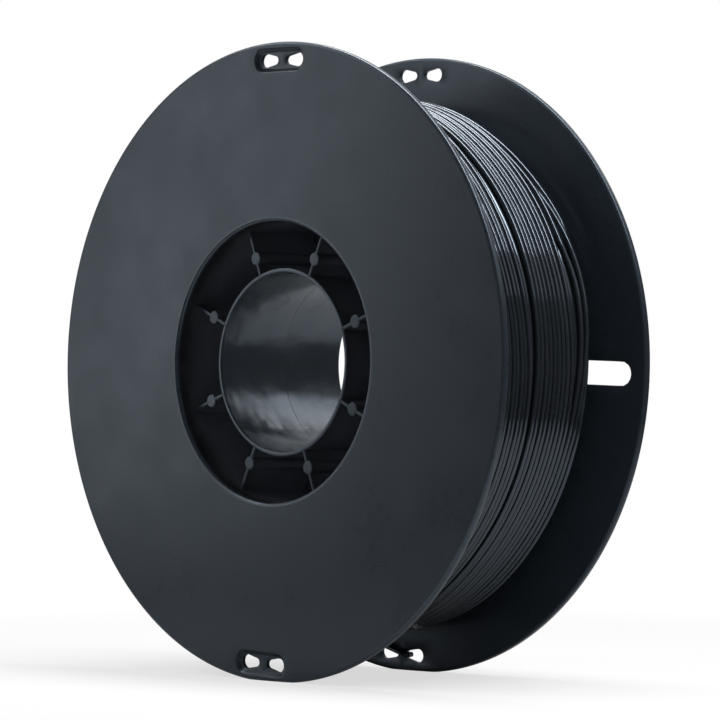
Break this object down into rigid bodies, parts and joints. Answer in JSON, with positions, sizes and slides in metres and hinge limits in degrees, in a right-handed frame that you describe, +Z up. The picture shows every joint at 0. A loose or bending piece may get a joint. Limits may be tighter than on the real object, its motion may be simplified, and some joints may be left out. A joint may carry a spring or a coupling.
{
  "type": "filament spool",
  "caption": "Round black plastic spool on a ribbed open hub, holding dark printing filament wound between its flanges, with the loose end tucked through a flange hole.",
  "frame": {"origin": "middle of the hub, on the spool's axis and halfway between the flanges", "axes": "+Y along the spool's axis towards the rear flange, +Z up as the spool stands on its rims, +X to the right seen from the front"},
  "size_m": [0.1998, 0.0654, 0.1993],
  "materials": {
    "spool_plastic": "satin moulded black plastic, glossier in the hub bore",
    "filament": "smooth dark filament with a soft gloss"
  },
  "bodies": {
    "rear_half_with_filament": {"rear_half": "spool_plastic", "filament_core": "filament", "filament_outer_layer": "filament", "filament_inner_end": "filament"},
    "front_half": {"front_half": "spool_plastic"}
  },
  "joints": [
    {"name": "front_half_pull", "type": "slide", "parent": "rear_half_with_filament", "child": "front_half", "axis": [0, -1, 0], "range_m": [0, 0.045]}
  ]
}
